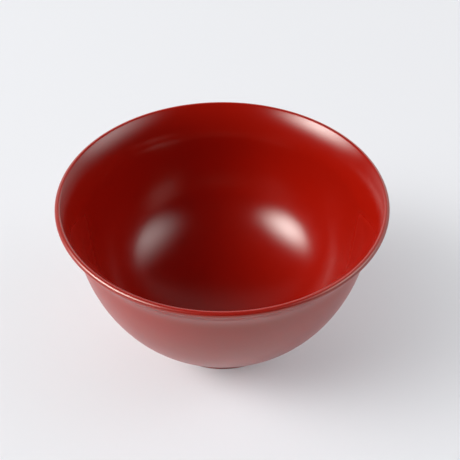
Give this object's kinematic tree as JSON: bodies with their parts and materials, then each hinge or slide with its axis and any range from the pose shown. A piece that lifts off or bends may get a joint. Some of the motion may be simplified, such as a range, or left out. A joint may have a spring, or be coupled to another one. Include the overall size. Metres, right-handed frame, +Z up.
{
  "type": "bowl",
  "caption": "Round soup bowl with a thin flared lip, a deep body and a foot ring, built as a turned wooden core under linen, ground and red lacquer.",
  "frame": {"origin": "middle of the foot ring, on the surface that the bowl stands on", "axes": "+Z up along the bowl's axis; the bowl is round, so +X and +Y are any two level directions"},
  "size_m": [0.12, 0.12, 0.066],
  "materials": {
    "red_lacquer": "satin-gloss vermilion lacquer",
    "ground_coat": "matt lacquer and earth ground, rubbed level",
    "linen": "plain-weave linen set in lacquer paste",
    "turned_wood": "turned close-grained wood"
  },
  "bodies": {
    "root": {"wood_core": "turned_wood", "rim_cloth": "linen", "foot_cloth": "linen", "well_cloth": "linen", "outer_ground": "ground_coat", "inner_ground": "ground_coat", "foot_lacquer": "red_lacquer", "outer_lacquer": "red_lacquer", "inner_lacquer": "red_lacquer"}
  },
  "joints": []
}
